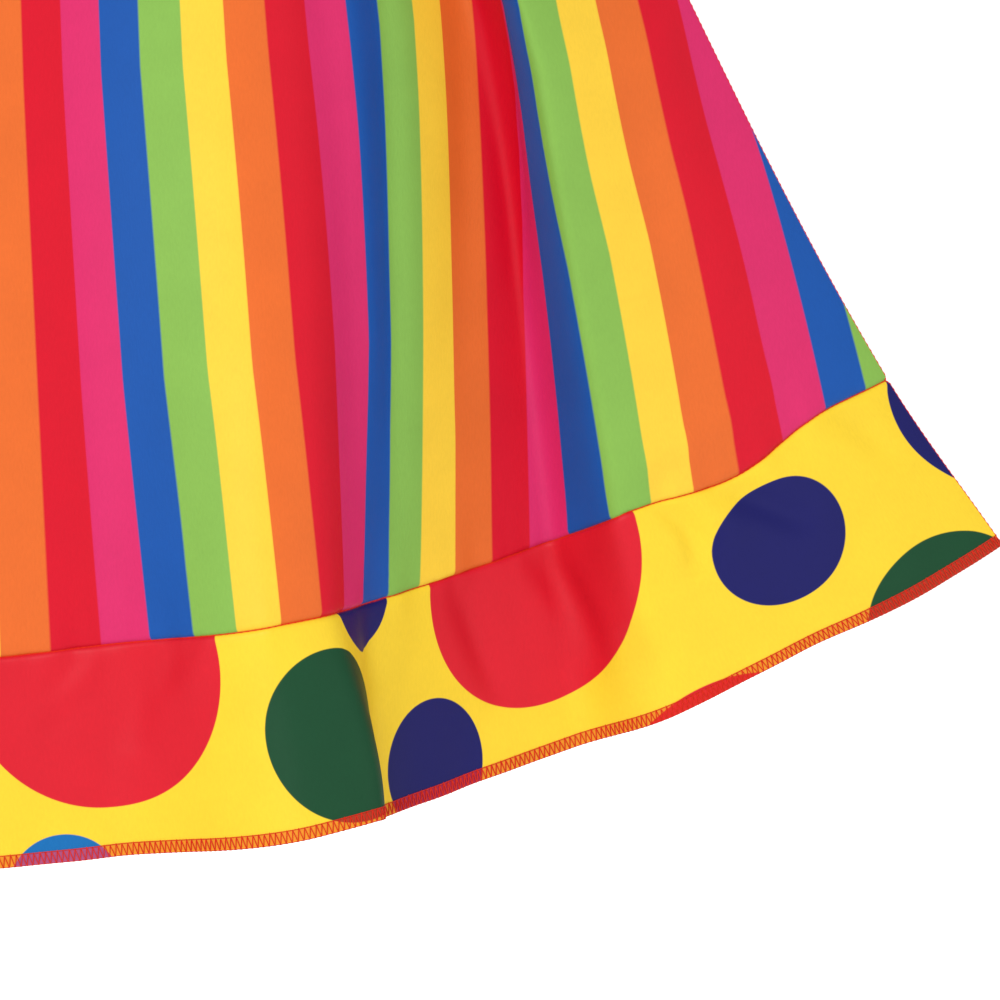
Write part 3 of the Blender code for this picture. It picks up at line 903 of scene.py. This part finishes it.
def topstitch_mesh(opening, distance):
    """Short stitches on the outer face round an opening, at a distance from its edge."""
    sewing = bpy.context.scene.dress_sewing
    columns = top_columns(column_shares(), opening.stretch, opening.half)
    panels = [side_grids(side)[0] for side in (FRONT, BACK)]
    trees = [surface_tree(panel, side) for panel, side in zip(panels, (FRONT, BACK))]
    points = ring_of(*(panel.points[0, columns] for panel in panels))
    normals = ring_of(*(panel.normals[0, columns] for panel in panels))
    beyond = ring_of(*(panel.points[TURNING_ROW, columns] for panel in panels))
    ahead = np.roll(points, -1, axis=0) - np.roll(points, 1, axis=0)
    inward = unit(np.cross(normals, ahead))
    if np.sum(inward * (beyond - points)) < 0:
        inward = -inward
    hits = [min((tree.find_nearest(Vector(target)) for tree in trees), key=lambda hit: hit[3])
            for target in points + inward * distance]
    line, outward = (joined_up(np.array([hit[k] for hit in hits])) for k in (0, 1))
    arc = running_length(line)
    count = int(arc[-1] / sewing.stitch_spacing)
    share, lift = np.array(TOPSTITCH).T
    at = (np.arange(count)[:, None] * arc[-1] / count + share * sewing.stitch_length).ravel()
    at = np.minimum(at, arc[-1])
    normal = unit(along_line(outward, arc, at))
    radius = sewing.thread_width / 2
    path = along_line(line, arc, at) + normal * np.tile(lift * radius, count)[:, None]
    shape = (count, len(share), 3)
    return tubes(path.reshape(shape), normal.reshape(shape), radius, THREAD_SIDES)


# ---- Materials ----
WHITE = (1.0, 1.0, 1.0, 1.0)
MIX_SHARE, MIX_FIRST, MIX_SECOND, MIX_RESULT = 0, 6, 7, 2   # colour sockets of a Mix node


def set_inputs(material, node, inputs):
    """Set a node's sockets to values, or feed them from other sockets."""
    for socket, value in dict(inputs).items():
        if isinstance(value, bpy.types.NodeSocket):
            material.node_tree.links.new(value, node.inputs[socket])
        else:
            node.inputs[socket].default_value = value


def add_node(material, kind, inputs=(), **settings):
    """Add a node with its inputs and settings."""
    node = material.node_tree.nodes.new(kind)
    for name, value in settings.items():
        setattr(node, name, value)
    set_inputs(material, node, inputs)
    return node


def calculate(material, operation, *values):
    """The result of a Math node."""
    node = add_node(material, "ShaderNodeMath", enumerate(values), operation=operation)
    return node.outputs[0]


def rescale(material, value, start, end, low, high):
    """A value between start and end, moved to between low and high."""
    inputs = enumerate((value, start, end, low, high))
    return add_node(material, "ShaderNodeMapRange", inputs).outputs[0]


def blend(material, share, first, second):
    """Two colours mixed, with this share of the second."""
    inputs = {MIX_SHARE: share, MIX_FIRST: first, MIX_SECOND: second}
    return add_node(material, "ShaderNodeMix", inputs, data_type="RGBA").outputs[MIX_RESULT]


def new_material(name):
    """A material and its shader."""
    material = bpy.data.materials.new(name)
    material.use_nodes = True
    return material, material.node_tree.nodes["Principled BSDF"]


def sidebar_colour(name):
    return (*getattr(bpy.context.scene.dress_colours, name), 1.0)


def tint(material, colour, place, ends, strength):
    """Mix the thread's colour in, from none at the first end to the strength at the second."""
    cover = rescale(material, place, *ends, 0.0, strength)
    return blend(material, cover, colour, sidebar_colour("thread"))


def draw_stripes(material, u, v):
    """Six stripes over and over, each as wide as the pitch, with edges as crisp as print."""
    repeat = len(STRIPE_ORDER) * STRIPE_PITCH
    place = calculate(material, "FRACT", calculate(material, "MULTIPLY", u, 1 / repeat))
    stripes = add_node(material, "ShaderNodeValToRGB", {0: place})
    stops = stripes.color_ramp.elements
    softness = INK_SPREAD / repeat
    colours = [sidebar_colour(name) for name in STRIPE_ORDER]
    border = tuple((a + b) / 2 for a, b in zip(colours[0], colours[-1]))
    for stop, position in zip(stops, (0.0, 1.0)):
        stop.position, stop.color = position, border
    for k, colour in enumerate(colours):
        for position in (k / len(colours) + softness, (k + 1) / len(colours) - softness):
            stops.new(position).color = colour
    return stripes.outputs[0]


def draw_spots(material, u, v):
    """Large spots on yellow. They stay round although the band is longer at the hem."""
    colour = sidebar_colour("band_yellow")
    half_repeat = SPOT_REPEAT * STRIPE_PITCH / 2
    flare = calculate(material, "MULTIPLY_ADD", v, -BAND_FLARE / BAND_DEPTH, 1.0)
    for spot in SPOTS:
        off = calculate(material, "SUBTRACT", u, spot.stripe * STRIPE_PITCH)
        near = calculate(material, "WRAP", off, -half_repeat, half_repeat)
        wide = calculate(material, "MULTIPLY", near, flare)
        high = calculate(material, "SUBTRACT", v, spot.run)
        place = add_node(material, "ShaderNodeCombineXYZ", {0: wide, 1: high})
        reach = add_node(material, "ShaderNodeVectorMath", {0: place.outputs[0]},
                         operation="LENGTH")
        inside = rescale(material, reach.outputs["Value"], spot.radius + INK_SPREAD,
                         spot.radius - INK_SPREAD, 0.0, 1.0)
        colour = blend(material, inside, colour, sidebar_colour(spot.colour))
    # Thread lies so close over the overlocked edge that it colours the cloth between
    top = bpy.context.scene.dress_sewing.overlock_depth - BAND_DEPTH
    return tint(material, colour, v, (top + THREAD_BORDER, top - THREAD_BORDER), THREAD_COVER)


def printed_polyester(name, draw_print, paleness):
    """Thin plain-woven polyester with a printed face: soft, a little shiny across folds.

    Its wrong side shows the print through the weave, so it is paler.
    """
    material, shader = new_material(name)
    cut = add_node(material, "ShaderNodeUVMap", uv_map="cut").outputs[0]
    split = add_node(material, "ShaderNodeSeparateXYZ", {0: cut})
    colour = draw_print(material, split.outputs[0], split.outputs[1])
    # Painted shade along the band's seam: a thin dark line in the thread's colour
    off_seam = calculate(material, "ABSOLUTE", split.outputs[1])
    colour = tint(material, colour, off_seam, (SEAM_SHADE_REACH, 0.0), SEAM_SHADE_SHARE)
    if paleness:
        colour = blend(material, paleness, colour, WHITE)
    stretched = add_node(material, "ShaderNodeMapping",
                         {"Vector": cut, "Scale": (1.0, 1 / YARN_LENGTH, 1.0)})
    yarns, patches = (
        add_node(material, "ShaderNodeTexNoise",
                 {"Vector": where, "Scale": 1 / size, "Detail": 2.0}).outputs[0]
        for where, size in ((stretched.outputs[0], YARN_SPACING), (cut, INK_PATCH)))
    value = rescale(material, calculate(material, "ADD", yarns, patches), 0.5, 1.5, *INK_RANGE)
    inked = add_node(material, "ShaderNodeHueSaturation", {"Value": value, "Color": colour})
    bump = add_node(material, "ShaderNodeBump",
                    {"Height": yarns, "Strength": 0.25, "Distance": 0.0002})
    set_inputs(material, shader, {
        "Base Color": inked.outputs[0], "Normal": bump.outputs[0], "Roughness": 0.52,
        "IOR": 1.5, "Specular IOR Level": 0.2})
    return material


def spun_thread(name):
    """Spun polyester sewing thread: matt, with a faint fuzz that lights up at its edges."""
    material, shader = new_material(name)
    set_inputs(material, shader, {
        "Base Color": sidebar_colour("thread"), "Roughness": 0.6, "Specular IOR Level": 0.15,
        "Sheen Weight": 0.05})
    return material


def studio_floor(name):
    """Matt white studio floor, lit a little from below like a light table."""
    material, shader = new_material(name)
    set_inputs(material, shader, {
        "Base Color": sidebar_colour("floor"), "Roughness": 0.9, "Specular IOR Level": 0.1,
        "Emission Color": WHITE, "Emission Strength": 0.12})
    return material


# ---- What a user would change ----
def number_property(name, description, default, **options):
    return bpy.props.FloatProperty(name=name, description=description, default=default, **options)


def length_property(name, description, default, **options):
    return number_property(name, description, default, unit="LENGTH", **options)


def colour_property(name, hex_colour):
    return bpy.props.FloatVectorProperty(
        name=name, description="Colour of the " + name.lower(), subtype="COLOR", size=3,
        min=0.0, max=1.0, default=linear_colour(hex_colour))


class DressSewing(bpy.types.PropertyGroup):
    """Sizes of the cloth and its sewing."""
    cloth_thickness: length_property("Cloth thickness", "Thickness of the cloth", 0.0008,
                                     min=0.0003, max=0.0016, precision=5)
    turned_edge: length_property("Turned edge", "Depth of the turning at neck and armholes",
                                 0.008, precision=4)
    seam_depth: length_property("Seam depth", "How far the hem band's seam is drawn in",
                                0.0013, precision=5)
    pucker: number_property("Pucker", "Strength of the gathers along the hem band's seam", 1.0,
                            min=0.0, max=3.0, subtype="FACTOR")
    overlock_depth: length_property("Overlock depth", "Width of the overlock along the hem",
                                    0.0050, precision=4)
    overlock_pitch: length_property("Overlock pitch", "Length of one overlock stitch",
                                    0.0025, precision=4)
    stitch_length: length_property("Stitch length", "Length of a topstitch at neck and armholes",
                                   0.0023, precision=4)
    stitch_spacing: length_property("Stitch spacing", "From one topstitch to the next",
                                    0.0030, precision=4)
    thread_width: length_property("Thread width", "Width of the sewing thread", 0.0005,
                                  precision=5)


class DressColours(bpy.types.PropertyGroup):
    """Colours of the print, the thread and the floor."""
    red: colour_property("Red stripe", "#C1001F")
    pink: colour_property("Pink stripe", "#C4225C")
    blue: colour_property("Blue stripe", "#0A4996")
    green: colour_property("Green stripe", "#78A445")
    yellow: colour_property("Yellow stripe", "#E2B933")
    orange: colour_property("Orange stripe", "#CF5F22")
    band_yellow: colour_property("Hem band", "#E0BD2A")
    spot_red: colour_property("Red spots", "#C31224")
    spot_green: colour_property("Green spots", "#083E22")
    spot_navy: colour_property("Navy spots", "#0E0E55")
    spot_blue: colour_property("Blue spots", "#045F9E")
    thread: colour_property("Thread", "#CC2208")
    floor: colour_property("Floor", "#FFFFFF")
    paleness: number_property("Wrong side", "How much paler the wrong side of the cloth is", 0.45,
                              min=0.0, max=1.0, subtype="FACTOR")


class DressStage(bpy.types.PropertyGroup):
    """Floor, camera and light."""
    floor_level: length_property("Floor level", "Height of the floor under the hanging dress",
                                 -1.32)
    floor_size: length_property("Floor size", "Side of the floor", 160.0)
    camera_target: bpy.props.FloatVectorProperty(
        name="Camera target", description="What the camera looks at",
        default=(0.255, 0.0, -0.745), subtype="XYZ", unit="LENGTH")
    camera_distance: length_property("Camera distance", "From the camera to its target", 4.0)
    camera_azimuth: number_property("Camera azimuth", "Turn of the camera round the dress",
                                    radians(4.0), subtype="ANGLE")
    camera_elevation: number_property("Camera elevation", "Height of the camera over the horizon",
                                      radians(8.0), subtype="ANGLE")
    view_width: length_property("View width", "Width of the view at the target", 0.436)
    key_strength: number_property("Key light", "Strength of the soft light from the front left",
                                  2.20)
    fill_strength: number_property("Fill light", "Power of the soft light from the right", 11.0,
                                   unit="POWER")
    back_strength: number_property("Back light", "Power of the soft light behind the dress", 34.0,
                                   unit="POWER")
    sky_strength: number_property("Room light", "Strength of the white room", 0.57)


# ---- Stage ----
KEY_TURN = (radians(58), 0, radians(-20))
KEY_SPREAD = radians(30)
LAMP_SIZE = 1.6
# Soft lamps: the place from the camera's target, and the setting that holds the power
Lamp = namedtuple("Lamp", "name offset setting")
LAMPS = (
    Lamp("fill_light", (2.2, -2.0, 0.6), "fill_strength"),
    Lamp("back_light", (-1.0, 3.0, 0.9), "back_strength"),
)
SENSOR_WIDTH = 36.0       # millimetres


def add_floor(stage):
    bpy.ops.object.select_all(action="DESELECT")
    bpy.ops.mesh.primitive_plane_add(size=stage.floor_size)
    floor = bpy.context.active_object
    floor.name = "floor"
    for vertex in floor.data.vertices:
        vertex.co.z = stage.floor_level
    floor.data.materials.append(studio_floor("studio_floor"))


def add_light(stage):
    """A white room, a soft key light and two soft lamps."""
    world = bpy.data.worlds.new("white_room")
    bpy.context.scene.world = world
    world.use_nodes = True
    room = world.node_tree.nodes["Background"]
    room.inputs["Color"].default_value = WHITE
    room.inputs["Strength"].default_value = stage.sky_strength
    bpy.ops.object.light_add(type="SUN", rotation=KEY_TURN)
    key = bpy.context.active_object
    key.name = "key_light"
    key.data.energy = stage.key_strength
    key.data.angle = KEY_SPREAD
    target = Vector(stage.camera_target)
    for name, offset, setting in LAMPS:
        place = target + Vector(offset)
        bpy.ops.object.light_add(type="AREA", location=place)
        lamp = bpy.context.active_object
        lamp.name = name
        lamp.data.energy = getattr(stage, setting)
        lamp.data.size = LAMP_SIZE
        lamp.rotation_euler = (target - place).to_track_quat("-Z", "Y").to_euler()
        lamp.visible_camera = False


def add_camera(stage):
    azimuth, elevation = stage.camera_azimuth, stage.camera_elevation
    back = Vector((-sin(azimuth) * cos(elevation), -cos(azimuth) * cos(elevation),
                   sin(elevation)))
    place = Vector(stage.camera_target) + back * stage.camera_distance
    bpy.ops.object.camera_add(location=place)
    camera = bpy.context.active_object
    camera.name = "camera"
    camera.rotation_euler = (-back).to_track_quat("-Z", "Y").to_euler()
    camera.data.sensor_width = SENSOR_WIDTH
    camera.data.lens = SENSOR_WIDTH * stage.camera_distance / stage.view_width
    camera.data.clip_start = 0.1
    camera.data.clip_end = 200.0
    camera.data.dof.use_dof = False
    bpy.context.scene.camera = camera


# ---- Operators ----
def make_cloth(part, number, print_name, draw_print):
    """Make one part of both sides in its print, attach the pieces to the root and hide the solids
    they stand for.
    """
    paleness = bpy.context.scene.dress_colours.paleness
    materials = [printed_polyester(print_name + "_polyester" + face, draw_print, pale)
                 for face, pale in (("", 0.0), ("_wrong_side", paleness))]
    for side in (FRONT, BACK):
        node = side.name + part
        piece = cloth_shell(node + "_cloth", side_grids(side)[number], side, materials)
        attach(piece, "root")
        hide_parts(node)


def make_thread(name, mesh, material):
    """Make a piece of sewing and attach it to the root."""
    piece = new_piece(name, *mesh, [material])
    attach(piece, "root")


class DRESS_OT_panels(bpy.types.Operator):
    """Make the striped front and back panels"""
    bl_idname = "dress.panels"
    bl_label = "Striped panels"

    def execute(self, context):
        make_cloth("_panel", 0, "striped", draw_stripes)
        return {"FINISHED"}


class DRESS_OT_hem_bands(bpy.types.Operator):
    """Make the spotted hem bands"""
    bl_idname = "dress.hem_bands"
    bl_label = "Spotted hem bands"

    def execute(self, context):
        make_cloth("_hem_band", 1, "spotted", draw_spots)
        return {"FINISHED"}


class DRESS_OT_overlock(bpy.types.Operator):
    """Sew the overlock round the hem"""
    bl_idname = "dress.overlock"
    bl_label = "Overlocked hem"

    def execute(self, context):
        thread = spun_thread("overlock_thread")
        make_thread("hem_overlock", overlock_mesh(), thread)
        return {"FINISHED"}


class DRESS_OT_seams(bpy.types.Operator):
    """Sew the pieces together along their seams"""
    bl_idname = "dress.seams"
    bl_label = "Seams"

    def execute(self, context):
        thread = spun_thread("seam_thread")
        make_thread("band_seam_thread", band_seam_mesh(), thread)
        make_thread("long_seams_thread", long_seams_mesh(), thread)
        return {"FINISHED"}


class DRESS_OT_edge_stitches(bpy.types.Operator):
    """Sew the turned edges of the neck and the armholes"""
    bl_idname = "dress.edge_stitches"
    bl_label = "Neck and armhole stitches"

    def execute(self, context):
        thread = spun_thread("sewing_thread")
        distance = context.scene.dress_sewing.turned_edge - STITCH_INSET
        for opening in OPENINGS:
            mesh = topstitch_mesh(opening, distance)
            make_thread(opening.stitches, mesh, thread)
        return {"FINISHED"}


class DRESS_OT_stage(bpy.types.Operator):
    """Set up the floor, the light and the camera"""
    bl_idname = "dress.stage"
    bl_label = "Stage"

    def execute(self, context):
        stage = context.scene.dress_stage
        add_floor(stage)
        add_light(stage)
        add_camera(stage)
        context.scene.view_settings.view_transform = "Standard"
        return {"FINISHED"}


class DRESS_PT_sidebar(bpy.types.Panel):
    """The dress's pieces and what can be changed on them"""
    bl_idname = "DRESS_PT_sidebar"
    bl_label = "Clown dress"
    bl_space_type = "VIEW_3D"
    bl_region_type = "UI"
    bl_category = "Dress"

    def draw(self, context):
        for operator in PIECE_OPERATORS:
            self.layout.operator(operator.bl_idname)
        for group in GROUPS:
            settings = getattr(context.scene, group)
            box = self.layout.box()
            for name in type(settings).__annotations__:
                box.prop(settings, name)


GROUPS = {"dress_sewing": DressSewing, "dress_colours": DressColours, "dress_stage": DressStage}
PIECE_OPERATORS = (DRESS_OT_panels, DRESS_OT_hem_bands, DRESS_OT_seams,
                   DRESS_OT_overlock, DRESS_OT_edge_stitches, DRESS_OT_stage)
CLASSES = (*GROUPS.values(), *PIECE_OPERATORS, DRESS_PT_sidebar)


def register():
    for cls in CLASSES:
        bpy.utils.register_class(cls)
    for name, group in GROUPS.items():
        setattr(bpy.types.Scene, name, bpy.props.PointerProperty(type=group))


def unregister():
    for name in GROUPS:
        delattr(bpy.types.Scene, name)
    for cls in reversed(CLASSES):
        bpy.utils.unregister_class(cls)


def main():
    register()
    bpy.ops.dress.panels()
    bpy.ops.dress.hem_bands()
    bpy.ops.dress.seams()
    bpy.ops.dress.overlock()
    bpy.ops.dress.edge_stitches()
    bpy.ops.dress.stage()


if __name__ == "__main__":
    main()
